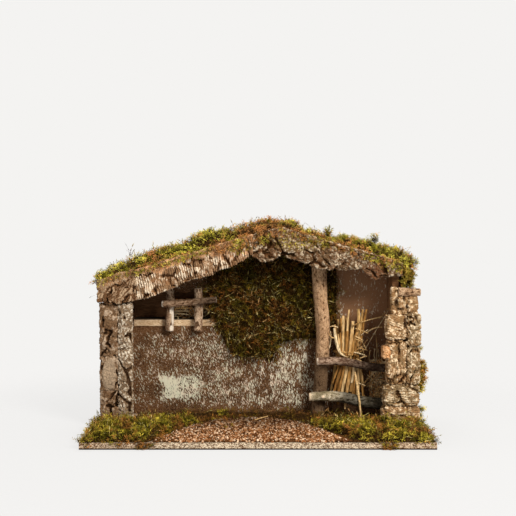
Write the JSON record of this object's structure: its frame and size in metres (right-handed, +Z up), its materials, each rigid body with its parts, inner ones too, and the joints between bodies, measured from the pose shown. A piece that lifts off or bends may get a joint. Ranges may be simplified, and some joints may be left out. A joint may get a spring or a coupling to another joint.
{
  "type": "nativity stable",
  "caption": "Open-fronted tabletop stable with a mossy gabled roof, cork-bark edging, a hay loft, a railed stall with a straw sheaf, and a yard of gravel and moss.",
  "frame": {"origin": "middle of the base board's footprint, on its underside", "axes": "+X to the right seen from the open front, +Y from the open front to the closed back, +Z up"},
  "size_m": [0.42, 0.2, 0.2675],
  "materials": {
    "chipboard": "raw chipboard, unfinished",
    "dark_board": "dark brown stained board, matt",
    "painted_board": "brown board, dry-brushed in grey-white and pale green, matt",
    "raw_edge": "bare sawn softwood",
    "branch_bark": "natural branch with its bark on, matt",
    "birch_bark": "pale grey-green smooth bark, matt",
    "grey_cork": "rough grey cork bark, matt",
    "tan_cork": "rough reddish-tan cork bark, matt",
    "moss": "dried preserved moss, olive and orange-brown",
    "gravel": "fine reddish-brown gravel, glued",
    "straw": "dry golden straw, slight sheen",
    "steel": "plain bright steel"
  },
  "bodies": {
    "root": {"base_board": "chipboard", "brad_left_front": "steel", "brad_left_rear": "steel", "brad_right_front": "steel", "brad_right_rear": "steel", "brad_post": "steel", "side_wall_left": "dark_board", "side_wall_right": "dark_board", "painted_wall": "painted_board", "back_board": "dark_board", "roof_board_left": "dark_board", "roof_board_right": "dark_board", "loft_floor": "raw_edge", "loft_post_left": "branch_bark", "loft_post_right": "branch_bark", "loft_rail": "branch_bark", "loft_hay": "straw", "main_post": "branch_bark", "manger_rail": "branch_bark", "birch_rail": "birch_bark", "straw_sheaf": "straw", "sheaf_tie": "straw", "loose_hay": "straw", "fascia_left_1": "tan_cork", "fascia_left_2": "tan_cork", "fascia_left_3": "tan_cork", "fascia_left_4": "tan_cork", "fascia_right_1": "grey_cork", "fascia_right_2": "grey_cork", "fascia_right_3": "grey_cork", "jamb_bark_outer_foot": "grey_cork", "jamb_bark_outer_middle": "grey_cork", "jamb_bark_outer_top": "grey_cork", "jamb_bark_inner_foot": "grey_cork", "jamb_bark_inner_top": "grey_cork", "side_bark_left_front": "grey_cork", "side_bark_left_rear": "grey_cork", "cork_stone_foot": "tan_cork", "cork_stone_low": "tan_cork", "cork_stone_centre": "tan_cork", "cork_stone_orange": "tan_cork", "cork_stone_right": "tan_cork", "cork_stone_shoulder": "tan_cork", "cork_stone_upper": "tan_cork", "cork_chip_left": "tan_cork", "cork_chip_right": "tan_cork", "cork_edge_strip": "tan_cork", "cork_stack_cap": "branch_bark", "roof_moss_left": "moss", "roof_moss_right": "moss", "eave_moss_right": "moss", "eave_moss_corner": "moss", "gravel_bed": "gravel", "floor_moss_front_left": "moss", "floor_moss_front_right": "moss", "floor_moss_inner": "moss", "wall_moss": "moss", "side_moss_right": "moss"}
  },
  "joints": []
}
